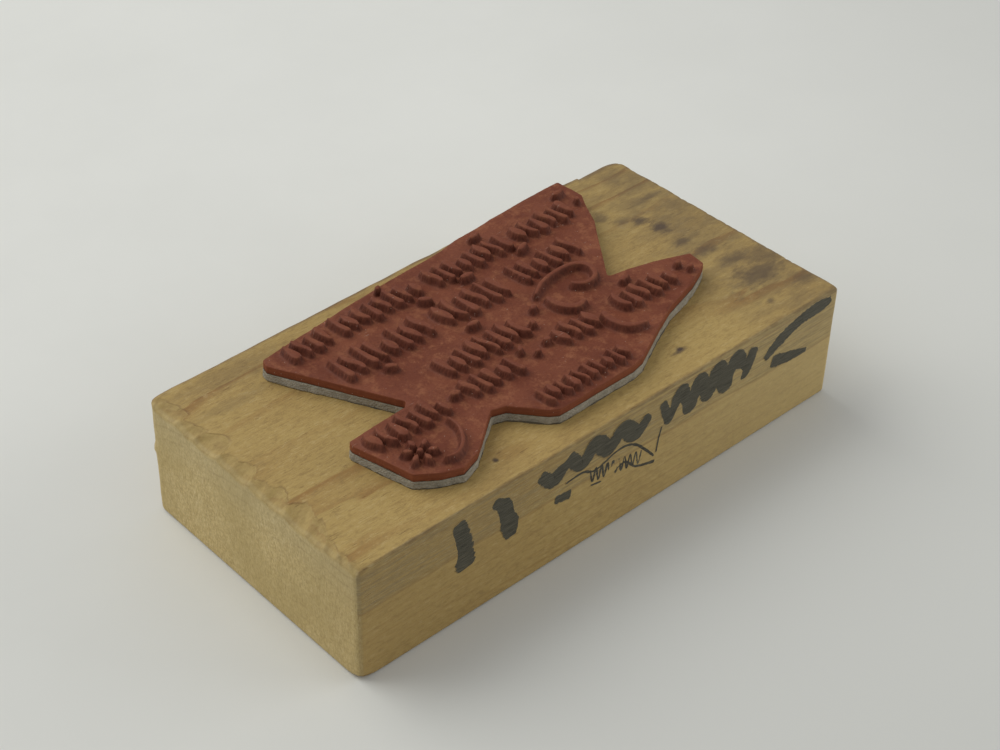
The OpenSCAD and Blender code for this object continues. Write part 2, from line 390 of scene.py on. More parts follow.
# Growth rings of the tree, seen as lines along the plank and as slanting arcs on its ends: where its
# pith lay, how wide the rings are, and how far they bend and waver
pith_y, pith_z = -30.0, -110.0
ring_width = 2.15
ring_bend, ring_waver = 7.0, 0.9
early_wood = (0.455, 0.318, 0.110, 1)
late_wood = (0.275, 0.130, 0.034, 1)
pine_group, given, made = new_group(
    "pine", [("Place", "NodeSocketVector"), ("End", "NodeSocketFloat")],
    [("Colour", "NodeSocketColor"), ("Height", "NodeSocketFloat")],
)
tree, place, end_share = pine_group, given["Place"], given["End"]
parts = split(tree, place)
across_y = combine(tree, "SUBTRACT", parts[1], pith_y)
across_z = combine(tree, "SUBTRACT", parts[2], pith_z)
from_pith = combine(tree, "ADD", times(tree, across_y, across_y), times(tree, across_z, across_z))
from_pith = combine(tree, "SQRT", from_pith)
bend = grain(tree, place, (0.011, 0.04, 0.04), 2.0, 0.5, (3.1, 0.7, 1.9))
waver = grain(tree, place, (0.06, 0.4, 0.4), 3.0, 0.55, (8.1, 2.7, 4.4))
from_pith = combine(tree, "MULTIPLY_ADD", bend, ring_bend, from_pith)
from_pith = combine(tree, "MULTIPLY_ADD", waver, ring_waver, from_pith)
in_ring = combine(tree, "FRACT", combine(tree, "DIVIDE", from_pith, ring_width))
late = times(tree, window(tree, in_ring, 0.72, 0.93), window(tree, in_ring, 0.94, 0.99, 1, 0))
ring_depth = grain(tree, place, (0.02, 0.12, 0.12), 2.0)
late = times(tree, late, window(tree, ring_depth, 0.35, 0.62, 0.15, 0.95))
late = times(tree, late, window(tree, parts[2], 11.0, 20.0, 0.4, 1.0))
late = times(tree, late, combine(tree, "MULTIPLY_ADD", end_share, -0.55, 1.0))
streaks = grain(tree, place, (0.07, 1.5, 1.5), 5.0, 0.65)
fibres = grain(tree, place, (0.5, 5.0, 5.0), 4.0, 0.7)
mottle = grain(tree, place, (0.6, 1.3, 1.3), 5.0, 0.75, (6, 2, 8))
cells = grain(tree, place, (1.8, 2.4, 2.0), 4.0, 0.7, (5, 5, 5))
strands = grain(tree, place, (2.0, 5.5, 1.1), 4.0, 0.7, (3, 5, 9))
clouds = grain(tree, place, (0.035, 0.07, 0.07), 3.0, 0.55, (2, 9, 4))
dashes = grain(tree, place, (0.28, 4.0, 4.0), 2.0, 0.5, (9, 9, 1))
hairs = grain(tree, place, (0.16, 2.6, 2.6), 3.0, 0.55, (4, 6, 1))
crack = combine(tree, "ABSOLUTE", combine(tree, "SUBTRACT", hairs, 0.5))
crack = times(tree, window(tree, crack, 0.016, 0.002), window(tree, clouds, 0.42, 0.60))
colour = coat(tree, tint(tree, late, early_wood, late_wood), [
    (clouds, 0.35, 0.70, 0.40, (0.390, 0.248, 0.080)),
    (streaks, 0.50, 0.78, 0.35, (0.290, 0.172, 0.058)),
    (streaks, 0.48, 0.25, 0.25, (0.540, 0.400, 0.180)),
    (mottle, 0.50, 0.67, 0.58, (0.290, 0.190, 0.068)),
    (mottle, 0.48, 0.30, 0.50, (0.560, 0.420, 0.190)),
    (fibres, 0.52, 0.66, 0.52, (0.270, 0.175, 0.068)),
    (dashes, 0.70, 0.76, 0.55, (0.170, 0.085, 0.032)),
])
colour = tint(tree, times(tree, crack, 0.50), colour, (0.200, 0.115, 0.045, 1))
# The end grain's colour is its own tone raised lighter, as painted light on the left end.
end_colour_and_light = tint(tree, window(tree, cells, 0.32, 0.68), (0.640, 0.495, 0.225, 1), (0.450, 0.325, 0.128, 1))
end_colour_and_light = coat(tree, end_colour_and_light, [
    (strands, 0.52, 0.66, 0.75, (0.700, 0.570, 0.310)),
    (strands, 0.46, 0.30, 0.60, (0.250, 0.170, 0.065)),
    (clouds, 0.40, 0.65, 0.45, (0.420, 0.310, 0.118)),
    (parts[2], 12.0, 21.0, 0.30, (0.460, 0.390, 0.230)),
    (parts[1], -4.0, -26.0, 0.35, (0.380, 0.275, 0.110)),
])
end_colour_and_light = tint(tree, times(tree, late, 0.7), end_colour_and_light, (0.270, 0.180, 0.070, 1))
height = combine(tree, "ADD", times(tree, mottle, 0.7), times(tree, fibres, 0.9))
height = combine(tree, "SUBTRACT", height, window(tree, dashes, 0.70, 0.76, 0.0, 0.6))
height = times(tree, height, combine(tree, "SUBTRACT", 1.0, end_share))
end_height = combine(tree, "MULTIPLY_ADD", strands, 0.35, times(tree, cells, 0.5))
height = combine(tree, "ADD", height, times(tree, end_height, end_share))
tree.links.new(tint(tree, end_share, colour, end_colour_and_light), made.inputs["Colour"])
tree.links.new(height, made.inputs["Height"])

# The fuzzy band that a blunt saw left along the upper part of the front, with a thin shadow at its foot
fuzz_and_light_group, given, made = new_group(
    "sawn_fuzz_and_light", [("Place", "NodeSocketVector"), ("Colour", "NodeSocketColor")],
    [("Colour", "NodeSocketColor"), ("Height", "NodeSocketFloat")],
)
tree, place = fuzz_and_light_group, given["Place"]
parts = split(tree, place)
band_foot = combine(tree, "MULTIPLY_ADD", grain(tree, place, (0.05, 0.05, 0.05), 2.0), 3.0, 11.4)
band_foot = combine(tree, "MULTIPLY_ADD", parts[0], -0.018, band_foot)
above_foot = combine(tree, "SUBTRACT", parts[2], band_foot)
on_front = window(tree, parts[1], front_y + 0.5, front_y + 0.2)
# Painted shade and painted light: the front is painted darker towards its left end and lighter towards its
# right.
painted_shade_left = times(tree, on_front, window(tree, parts[0], 0.0, -46.0, 0.0, 0.32))
painted_light_right = times(tree, on_front, window(tree, parts[0], -20.0, 46.0, 0.0, 0.38))
colour = tint(tree, painted_shade_left, given["Colour"], (0.270, 0.170, 0.062, 1))
colour = tint(tree, painted_light_right, colour, (0.640, 0.500, 0.240, 1))
band = times(tree, window(tree, above_foot, -0.15, 0.35), on_front)
lines = grain(tree, place, (0.10, 0.3, 4.2), 4.0, 0.6)
hairs = grain(tree, place, (0.45, 1.0, 9.0), 3.0, 0.6)
dark_lines = times(tree, band, window(tree, lines, 0.40, 0.66, 0.08, 0.72))
light_hairs = times(tree, band, window(tree, hairs, 0.54, 0.70, 0, 0.5))
dark_hairs = times(tree, band, window(tree, hairs, 0.44, 0.30, 0, 0.45))
colour = tint(tree, dark_lines, colour, (0.260, 0.195, 0.095, 1))
colour = tint(tree, light_hairs, colour, (0.560, 0.460, 0.260, 1))
colour = tint(tree, dark_hairs, colour, (0.150, 0.100, 0.050, 1))
shadow = combine(tree, "ABSOLUTE", combine(tree, "ADD", above_foot, 0.1))
shadow = times(tree, window(tree, shadow, 0.35, 0.05), on_front)
colour = tint(tree, times(tree, shadow, 0.35), colour, (0.230, 0.135, 0.055, 1))
tree.links.new(colour, made.inputs["Colour"])
tree.links.new(times(tree, band, combine(tree, "ADD", lines, hairs)), made.inputs["Height"])

# One soft-edged blot of spilt ink, soaked along the grain
blot_group, given, made = new_group(
    "blot", [("Place", "NodeSocketVector"), ("Centre", "NodeSocketVector"), ("Size", "NodeSocketVector")],
    [("Mask", "NodeSocketFloat")],
)
tree, place = blot_group, given["Place"]
away = combine_places(tree, "SUBTRACT", place, given["Centre"])
away = combine_places(tree, "DIVIDE", away, given["Size"])
reach = add_node(tree, "ShaderNodeVectorMath", {0: away}, operation="LENGTH").outputs["Value"]
ragged = combine(tree, "MULTIPLY_ADD", grain(tree, place, (0.35, 0.8, 0.8), 4.0, 0.7), 2.0, -1.0)
tree.links.new(window(tree, combine(tree, "ADD", reach, ragged), 1.25, 0.15), made.inputs["Mask"])

wood_relief = 0.09


def sawn_wood(tree, place, end):
    """The colour and height of the pine and its fuzzy band, with the front's painted shade and light, at a
    place that is end grain by the share end.
    """
    wood = use_group(tree, pine_group, {"Place": place, "End": end})
    fuzz_and_light = use_group(tree, fuzz_and_light_group, {"Place": place, "Colour": wood["Colour"]})
    return fuzz_and_light["Colour"], combine(tree, "ADD", wood["Height"], fuzz_and_light["Height"])


pine, tree, shader, place = new_material("pine_block", 0.62, 0.28)
parts = split(tree, place)
torn, edge = read_mark(tree, "torn"), read_mark(tree, "edge")
faces_end = window(tree, combine(tree, "ABSOLUTE", parts[0]), half_length - 0.9, half_length - 0.35)
colour, height = sawn_wood(tree, place, faces_end)
fresh = window(tree, grain(tree, place, (0.4, 0.7, 0.7), 4.0, 0.65), 0.7, 0.35)
torn_colour = tint(tree, fresh, (0.290, 0.195, 0.068, 1), (0.430, 0.310, 0.112, 1))
colour = tint(tree, times(tree, torn, 0.65), colour, torn_colour)
# Painted shade: the rounded edges, a thin line round the inside of each scallop and the top of the back edge
# are painted darker in a mottled line.
mottled_edge = grain(tree, place, (0.3, 0.3, 0.3), 3.0)
rim = times(tree, edge, combine(tree, "SUBTRACT", 1.0, torn))
rim = times(tree, rim, window(tree, mottled_edge, 0.4, 0.6, 0.1, 0.45))
painted_back_edge_shade = times(tree, window(tree, parts[1], left_back_y - 1.6, left_back_y - 0.2), edge)
painted_back_edge_shade = times(tree, painted_back_edge_shade, window(tree, mottled_edge, 0.3, 0.55, 0.4, 0.9))
colour = tint(tree, combine(tree, "MAXIMUM", rim, painted_back_edge_shade), colour, (0.150, 0.084, 0.032, 1))

# Blots on the top: centre, size across X and Y, and how dark each one is
top_blots = [
    ((39.2, 8.6), (2.0, 1.5), 0.85), ((40.6, 4.9), (1.9, 2.5), 0.90), ((36.8, 10.2), (2.2, 1.2), 0.50),
    ((40.3, -0.4), (2.8, 1.4), 0.70), ((41.4, -4.6), (3.2, 1.8), 0.65), ((37.8, -4.4), (2.6, 2.2), 0.45),
    ((43.6, -9.4), (4.0, 1.8), 0.60), ((43.2, -14.6), (6.6, 3.4), 0.72), ((47.4, -12.4), (4.2, 3.2), 0.50),
    ((45.6, 12.6), (4.4, 1.1), 0.60), ((34.6, 13.4), (1.5, 1.8), 0.50), ((39.1, -21.3), (1.0, 0.7), 0.65),
    ((18.4, -20.8), (1.9, 0.5), 0.85), ((18.8, -20.5), (0.9, 0.7), 1.00), ((-20.6, -21.1), (0.5, 0.5), 0.95),
    ((48.0, -20.6), (3.0, 2.2), 0.50), ((44.5, 3.0), (7.0, 13.0), 0.26), ((45.5, 18.0), (5.0, 6.0), 0.22),
    ((-38.0, 20.5), (12.0, 3.2), 0.28), ((-41.0, 14.5), (8.0, 1.6), 0.22), ((36.0, -18.0), (1.2, 0.8), 0.35),
]
blot_depth = 1.6
soot = 0.0
for (blot_x, blot_y), (wide, deep), strength in top_blots:
    blot = use_group(tree, blot_group, {
        "Place": place, "Centre": (blot_x, blot_y, block_top), "Size": (wide, deep, blot_depth),
    })
    soot = combine(tree, "MAXIMUM", soot, times(tree, blot["Mask"], strength))
on_top = window(tree, parts[2], block_top - 1.6, block_top - 0.3)
smears = grain(tree, place, (0.16, 0.36, 0.36), 5.0, 0.65, (4, 7, 2))
grime = times(tree, window(tree, parts[0], 24.0, 44.0), window(tree, smears, 0.38, 0.62, 0.22, 0.62))
colour = tint(tree, times(tree, grime, on_top), colour, (0.200, 0.138, 0.064, 1))
colour = tint(tree, soot, colour, (0.088, 0.060, 0.043, 1))
tree.links.new(colour, shader.inputs["Base Color"])
roughen(tree, shader, height, wood_relief)

points, faces, marks = block_surface()
block = make_piece("pine_block", points, faces, pine, "block", marks)
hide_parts("wood_block")

# ----------------------------------------------------------
# The felt-pen marks. Broad strokes of black marker and a thin line of ball pen were drawn on the
# front of the block, where the ink soaked into the fuzzy grain and skipped over its hollows.
# ----------------------------------------------------------
# How far a stroke stands proud of the wood and lies in it, the spacing of its points, how far its ink
# bled to each side, and the width over which its sides fade
stroke_proud = 0.03
stroke_sunk = 0.02
stroke_step = 0.18
stroke_bleed = 0.14
soft_side = 0.28
stroke_across = np.array([-1.0, -0.92, -0.75, -0.45, 0.0, 0.45, 0.75, 0.92, 1.0])


def smooth_path(points, step):
    """A smooth line through a list of points, each stretch a cubic whose slopes come from its neighbours,
    cut into equal steps."""
    points = np.asarray(points, float)
    padded = np.concatenate([points[:1], points, points[-1:]])
    share = np.linspace(0, 1, 25)[:-1, None]
    lines = []
    for before, a, b, after in zip(padded, padded[1:], padded[2:], padded[3:]):
        slope, bend = b - before, 2 * before - 5 * a + 4 * b - after
        lines.append(a + 0.5 * share * (slope + share * (bend + share * (3 * a - before - 3 * b + after))))
    line = np.concatenate([*lines, points[-1:]])
    lengths = np.append(0, np.cumsum(np.linalg.norm(np.diff(line, axis=0), axis=1)))
    even = np.linspace(0, lengths[-1], max(6, int(lengths[-1] / step)))
    return np.stack([np.interp(even, lengths, line[:, k]) for k in range(line.shape[1])], axis=1)


def ink_ribbon(points, widths, seed):
    """A flat ribbon on the front of the block: a line of points with ragged sides, half as wide as its
    widths say to either side, that tapers to a blunt point at both ends. Its back lies just inside the
    wood, and cover falls from 1 on the line to 0 at the sides."""
    line = smooth_path(points, stroke_step)
    count = len(line)
    share = np.linspace(0, 1, count)
    slope = np.gradient(line, axis=0)
    slope /= np.linalg.norm(slope, axis=1, keepdims=True)
    beside = np.stack([-slope[:, 1], slope[:, 0]], axis=1)
    half = np.interp(share, np.linspace(0, 1, len(widths)), widths) / 2
    reach = np.minimum(share, 1 - share) * count * stroke_step
    blunt = 0.45 + 0.55 * np.sqrt(np.clip(reach / np.maximum(0.55 * half, 0.2), 0, 1))
    half = 1.12 * half * blunt + stroke_bleed
    across = stroke_across
    ragged = 0.10 * soft_noise(line, 1.2, seed) + 0.06 * soft_noise(line, 0.5, seed + 1)
    spread = (half + ragged * np.minimum(1, half))[:, None] * across[None]
    outer = line[:, None] + beside[:, None] * spread[..., None]
    lift = stroke_proud * np.sqrt(np.clip(1 - across ** 2, 0, 1))
    depth = np.broadcast_to(front_y - lift, spread.shape)
    front = np.stack([outer[..., 0], depth, outer[..., 1]], axis=-1)
    back = front[:, -2:0:-1].copy()
    back[..., 1] = front_y + stroke_sunk
    ring = np.concatenate([front, back], axis=1)
    edge_cover = np.clip((1 - np.abs(across)) * half[:, None] / soft_side, 0, 1)
    cover = np.concatenate([edge_cover, edge_cover[:, -2:0:-1]], axis=1)
    cover *= ease(np.minimum(reach, 0.5), 0, 0.25)[:, None]
    around = ring.shape[1]
    faces = ring_faces(count, around)[:, ::-1].tolist()
    faces += [list(range(around)), list(range((count - 1) * around, count * around))[::-1]]
    return ring.reshape(-1, 3), faces, cover.ravel()


def join_ribbons(strokes, seed):
    """All the ribbons of one pen as one set of points, faces and cover."""
    points, faces, cover = [], [], []
    for number, (line, widths) in enumerate(strokes):
        ring, quads, share = ink_ribbon(line, widths, seed + 10 * number)
        first = sum(map(len, points))
        points.append(ring)
        cover.append(share)
        faces += [[first + corner for corner in face] for face in quads]
    return np.concatenate(points), faces, np.concatenate(cover)


def scribble(start, end, swing, turns):
    """Points in X and Z of a wave that swings up and down by turns about the line from start to end."""
    step = np.arange(2 * turns + 1)
    line = np.array(start) + step[:, None] / step[-1] * np.subtract(end, start)
    line[:, 1] += swing * (-1.0) ** step
    return line


# Each stroke: its points as X and Z, and its width along the line
marker_strokes = [
    ([(-32.2, 20.0), (-31.3, 16.4), (-30.6, 10.0)], (2.1, 3.1, 3.5)),
    ([(-25.4, 19.7), (-23.4, 18.0), (-22.2, 14.6), (-21.6, 10.8)], (1.4, 2.9, 3.2, 2.4)),
    (scribble((-16.2, 18.4), (7.0, 17.7), 1.15, 4), (1.8, 2.9, 2.2, 3.0, 2.4, 3.1, 1.6)),
    ([(-13.0, 12.8), (-9.4, 12.2)], (1.4, 1.7)),
    (scribble((9.6, 17.6), (30.6, 17.7), 2.1, 5), (1.4, 2.4, 2.8, 2.4, 3.2, 2.6, 2.0)),
    ([(33.4, 15.6), (36.8, 17.9), (41.4, 19.6), (45.4, 20.1), (49.2, 19.8)], (1.3, 2.4, 2.0, 2.4, 1.9)),
    ([(35.2, 14.2), (39.4, 13.2), (44.2, 12.3)], (2.2, 2.0, 0.7)),
]
pen_strokes = [
    (scribble((-5.6, 13.4), (5.6, 11.1), 1.3, 9), (0.28, 0.36, 0.24)),
    ([(-10.8, 14.9), (-7.2, 15.1), (-4.4, 14.0), (0.4, 15.3), (3.6, 14.6), (6.2, 12.2), (8.6, 9.4)],
     (0.3, 0.35, 0.3, 0.4, 0.3)),
    ([(-5.4, 11.4), (-1.6, 10.8), (1.8, 12.0), (4.6, 9.6), (8.9, 8.2)], (0.25, 0.4, 0.34, 0.34, 0.55)),
    ([(9.9, 14.8), (9.3, 12.4), (9.0, 9.9)], (0.25, 0.3, 0.25)),
]

for name, strokes, ink_colour, skip, seed in (
    ("marker_strokes", marker_strokes, (0.040, 0.038, 0.026, 1), 0.48, 40),
    ("pen_scribble", pen_strokes, (0.012, 0.012, 0.012, 1), 0.20, 400),
):
    ink, tree, shader, place = new_material(name, 0.55, 0.30)
    colour, height = sawn_wood(tree, place, 0.0)
    hollows = grain(tree, place, (0.30, 1.0, 7.5), 4.0, 0.65, (1, 2, 3))
    pale = grain(tree, place, (0.35, 0.5, 0.9), 3.0, 0.6, (7, 7, 7))
    soaked = times(tree, read_mark(tree, "cover"), 1.5)
    soaked = combine(tree, "SUBTRACT", soaked, times(tree, window(tree, hollows, 0.46, 0.64), skip))
    soaked = combine(tree, "SUBTRACT", soaked, times(tree, window(tree, pale, 0.50, 0.68), skip))
    soaked = window(tree, soaked, 0.25, 0.75, 0, 0.97)
    inked = coat(tree, ink_colour, [(hollows, 0.42, 0.60, 0.8, (0.110, 0.103, 0.074))])
    tree.links.new(tint(tree, soaked, colour, inked), shader.inputs["Base Color"])
    roughen(tree, shader, height, wood_relief)
    points, faces, cover = join_ribbons(strokes, seed)
    make_piece(name, points, faces, ink, "block", {"cover": cover})

# ----------------------------------------------------------
# The adhesive under the foam. A clear film holds the foam to the wood, and its edge, squeezed out a little
# all round, is coloured near black and shows as a dark line at the joint.
# ----------------------------------------------------------


def merged_faces(node):
    """The corners and triangles of a CAD node, with doubled corners taken as one, in millimetres."""
    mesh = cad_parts[node].data
    corners = np.zeros(len(mesh.vertices) * 3)
    mesh.vertices.foreach_get("co", corners)
    mesh.calc_loop_triangles()
    triangles = np.zeros(len(mesh.loop_triangles) * 3, int)
    mesh.loop_triangles.foreach_get("vertices", triangles)
    corners, same = np.unique(np.round(corners.reshape(-1, 3) / MM, 4), axis=0, return_inverse=True)
    return corners, same.ravel()[triangles].reshape(-1, 3)


def outlines_at(node, height):
    """The closed outlines of a CAD node's flat faces at a height, with the inside on the left. An edge is
    part of an outline if only one of those faces has it. The edges are followed from corner to corner."""
    corners, triangles = merged_faces(node)
    flat = triangles[np.abs(corners[triangles][..., 2] - height).max(1) < 0.01]
    flat = flat[(flat != np.roll(flat, 1, axis=1)).all(1)]
    edges = np.concatenate([flat[:, [0, 1]], flat[:, [1, 2]], flat[:, [2, 0]]])
    code, turned = edges @ (len(corners), 1), edges[:, ::-1] @ (len(corners), 1)
    following = dict(edges[~np.isin(code, turned)].tolist())
    found = []
    while following:
        start, corner = following.popitem()
        loop = [start]
        while corner != start:
            loop.append(corner)
            corner = following.pop(corner, start)
        x, y = corners[loop, :2].T
        turns_left = (x * np.roll(y, -1) - y * np.roll(x, -1)).sum() > 0
        found.append(corners[loop if turns_left else loop[::-1], :2])
    return found


def even_loop(loop, count):
    """A closed outline cut again into equal steps."""
    closed = np.concatenate([loop, loop[:1]])
    lengths = np.append(0, np.cumsum(np.linalg.norm(np.diff(closed, axis=0), axis=1)))
    even = np.linspace(0, lengths[-1], count, endpoint=False)
    return np.stack([np.interp(even, lengths, closed[:, k]) for k in range(2)], axis=1)


def loop_normals(loop):
    """The outward normals of an outline that runs with its inside on the left."""
    slope = np.roll(loop, -1, axis=0) - np.roll(loop, 1, axis=0)
    slope /= np.linalg.norm(slope, axis=1, keepdims=True)
    return np.stack([slope[:, 1], -slope[:, 0]], axis=1)


def room_outside(loop, gap):
    """How far an outline may move outwards before its points meet: a part of the radius where it is
    hollow, and far where it bulges. The radius comes from two normals that are gap points apart."""
    normal = loop_normals(loop)
    ahead = np.roll(loop, -gap, axis=0) - loop
    turning = ((np.roll(normal, -gap, axis=0) - normal) * ahead).sum(1) / (ahead ** 2).sum(1)
    room = 0.55 / np.maximum(-np.roll(turning, gap // 2), 0.05)
    for _ in range(3):
        room = np.minimum(room, 0.5 * room + 0.25 * (np.roll(room, 1) + np.roll(room, -1)))
    return room


def inside(points, loop):
    """Whether each point is inside a closed outline: a line to the right crosses it an odd number of
    times."""
    a, b = loop, np.roll(loop, -1, axis=0)
    above = (a[None, :, 1] > points[:, None, 1]) != (b[None, :, 1] > points[:, None, 1])
    rise = b[:, 1] - a[:, 1]
    rise = np.where(rise == 0, 1e-9, rise)
    crossing = a[:, 0] + (points[:, None, 1] - a[:, 1]) * (b - a)[:, 0] / rise
    return (above & (points[:, :1] < crossing)).sum(1) % 2 == 1


def triangulate(points, edges):
    """A Delaunay triangulation fenced by the edges: its points, its triangles, and the number that each of
    its points had before, or -1 for a point that it added."""
    placed, _, triangles, came_from, _, _ = delaunay_2d_cdt(
        [Vector(point) for point in points.tolist()], edges.tolist(), [], 0, 1e-7)
    number = np.array([source[0] if source else -1 for source in came_from])
    return np.array([tuple(point) for point in placed]), np.array(triangles), number


def fill_triangles(loop):
    """Triples of an outline's point numbers that fill it: a triangulation fenced by the outline, of which
    the triangles inside are kept."""
    _, triangles, number = triangulate(loop, closed_edges(len(loop)))
    triangles = number[triangles]
    return triangles[inside(loop[triangles].mean(1), loop)]


def slab(outline, rows):
    """A closed slab: each row is a height and how far each point of the outline is moved outwards there,
    from the bottom row to the top row."""
    normal = loop_normals(outline)
    count = len(outline)
    room = room_outside(outline, 4)
    rings = [
        np.column_stack([outline + normal * np.minimum(out, room)[:, None], height * np.ones(count)])
        for height, out in rows
    ]
    fill = fill_triangles(outline)
    faces = ring_faces(len(rings), count).tolist()
    faces += fill[:, ::-1].tolist() + (fill + (len(rings) - 1) * count).tolist()
    return np.concatenate(rings), faces


trim_count = 980
foam_low, foam_high = (np.array(corner)[2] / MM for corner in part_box("foam_cushion"))
die_low, die_high = (np.array(corner)[2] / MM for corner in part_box("rubber_die"))
trim = even_loop(outlines_at("rubber_die", die_low)[0], trim_count)

glue, tree, shader, place = new_material("block_glue", 0.42, 0.45)
glue_mottle = grain(tree, place, (0.5, 0.5, 0.5), 4.0, 0.65)
colour = tint(tree, window(tree, glue_mottle, 0.3, 0.7), (0.040, 0.036, 0.024, 1), (0.120, 0.088, 0.042, 1))
tree.links.new(colour, shader.inputs["Base Color"])
roughen(tree, shader, grain(tree, place, (3, 3, 3), 3.0), 0.05)
squeezed = 0.10 + 0.07 * soft_noise(trim, 5, 21) + 0.03 * soft_noise(trim, 1.4, 22)
points, faces = slab(trim, [
    (block_top - 0.02, squeezed), (block_top + 0.05, squeezed), (foam_low, squeezed - 0.06),
])
block_glue = make_piece("block_glue", points, faces, glue, "block")
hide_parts("block_adhesive")

# ----------------------------------------------------------
# The foam cushion. A thin sheet of grey closed-cell foam was cut along with the rubber, so its side
# shows the opened cells and stands out a little where the scissors leaned.
# ----------------------------------------------------------
foam_rows = 9
leaning = 0.10 + 0.10 * soft_noise(trim, 14, 23) + 0.05 * soft_noise(trim, 2.5, 24)
rows = []
for share in np.linspace(0, 1, foam_rows):
    height = foam_low + share * (foam_high - foam_low)
    side = np.column_stack([trim, np.full(trim_count, height)])
    open_cells = 0.018 * soft_noise(side, 0.6, 25) * np.sin(np.pi * share) ** 0.5
    rows.append((height, leaning * (1.15 - 0.75 * share) + open_cells))
points, faces = slab(trim, rows)

foam_look, tree, shader, place = new_material("foam", 0.9, 0.15)
pores = from_spot(tree, place, 3.6)
mottle = grain(tree, place, (0.7, 0.7, 1.2), 4.0, 0.65)
colour = tint(tree, window(tree, mottle, 0.3, 0.7), (0.400, 0.365, 0.290, 1), (0.270, 0.245, 0.195, 1))
colour = coat(tree, colour, [(pores, 0.22, 0.05, 0.55, (0.130, 0.110, 0.080))])
tree.links.new(colour, shader.inputs["Base Color"])
roughen(tree, shader, combine(tree, "ADD", pores, times(tree, mottle, 0.6)), 0.12)
foam = make_piece("foam", points, faces, foam_look, "block")
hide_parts("foam_cushion")
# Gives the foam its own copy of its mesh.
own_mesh(foam)

# ----------------------------------------------------------
# The adhesive under the rubber. The same film joins the foam to the die, trimmed flush with both,
# and it keeps the shape that the design gives it.
# ----------------------------------------------------------
film, tree, shader, place = new_material("die_glue", 0.45, 0.40)
glue_mottle = grain(tree, place, (0.8, 0.8, 0.8), 3.0, 0.6)
colour = tint(tree, window(tree, glue_mottle, 0.35, 0.7), (0.110, 0.085, 0.055, 1), (0.190, 0.150, 0.100, 1))
tree.links.new(colour, shader.inputs["Base Color"])
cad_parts["die_adhesive"].data.materials.clear()
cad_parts["die_adhesive"].data.materials.append(film)

# ----------------------------------------------------------
# The die. Red-brown rubber, vulcanised in a mould and cut out by hand with scissors. The raised
# marks have ribbed, sloping walls that spread into the dusty ground between them.
# ----------------------------------------------------------
sheet_thickness = 1.4
sheet_top = round(die_low, 2) + sheet_thickness
# Points round each mark, how far its foot spreads, and the spacing of the points on the ground
mark_points = 64
foot_spread = 0.48
scatter_spacing = 0.72
# Rows of the trimmed side: height, how far it stands out, and how far it shows the cut
side_rows = [
    (die_low, 0.0, 1.0), (die_low + 0.3, 0.03, 1.0), (die_low + 0.7, 0.02, 1.0), (die_low + 1.1, 0.0, 1.0),
    (sheet_top - 0.14, -0.01, 0.9), (sheet_top - 0.05, -0.04, 0.5), (sheet_top, -0.13, 0.0),
]
# Rows of a mark's wall: share of its height, of its spread at the foot, of its ribs and of its draft, then
# how far it takes the walls' darker colour with its painted shade, and the crown's colour
wall_rows = np.array([
    (0.00, 1.00, 0.0, 0.00, 0.20, 0.0), (0.06, 0.74, 0.3, 0.00, 0.60, 0.0),
    (0.18, 0.50, 0.7, 0.00, 0.95, 0.0), (0.38, 0.30, 1.0, 0.10, 1.00, 0.0),
    (0.64, 0.12, 0.9, 0.30, 0.90, 0.0), (0.85, 0.03, 0.7, 0.60, 0.60, 0.0),
    (0.95, 0.00, 0.5, 0.80, 0.25, 0.7), (1.00, 0.00, 0.3, 1.15, 0.00, 1.0),
])


def ground_height(points):
    """The ground between the marks: the sheet's top with low swells and finer ripples from the mould."""
    return sheet_top + 0.055 * soft_noise(points, 5.5, 31) + 0.022 * soft_noise(points, 1.6, 32)


def from_nearest(points, others):
    """How far each point is from the nearest of the others."""
    return np.linalg.norm(points[:, None] - others[None], axis=2).min(1)


def ground_net(rim, feet, draw):
    """The ground as triangles that join the rim, the foot of every mark and a scatter of points. Returns
    the points in that order, as X and Y, and the triangles."""
    grid = np.meshgrid(np.arange(-38, 38, scatter_spacing), np.arange(-23, 25, scatter_spacing))
    scatter = np.stack(grid, axis=-1).reshape(-1, 2)
    scatter += draw.uniform(-0.25, 0.25, scatter.shape)
    scatter = scatter[inside(scatter, rim)]
    borders = np.concatenate([*feet, rim])
    gap = np.concatenate([from_nearest(part, borders) for part in np.array_split(scatter, 24)])
    scatter = scatter[gap > 0.22]
    for foot in feet:
        scatter = scatter[~inside(scatter, foot)]
    flat = np.concatenate([rim, *feet, scatter])
    fences = [closed_edges(mark_points, trim_count + number * mark_points) for number in range(len(feet))]
    placed, triangles, number = triangulate(flat, np.concatenate([closed_edges(trim_count), *fences]))
    added = number < 0
    number[added] = len(flat) + np.arange(added.sum())
    middles = placed[triangles].mean(1)
    keep = inside(middles, rim)
    for foot in feet:
        close = np.flatnonzero(((middles >= foot.min(0)) & (middles <= foot.max(0))).all(1))
        keep[close[inside(middles[close], foot)]] = False
    return np.concatenate([flat, placed[added]]), number[triangles[keep]]


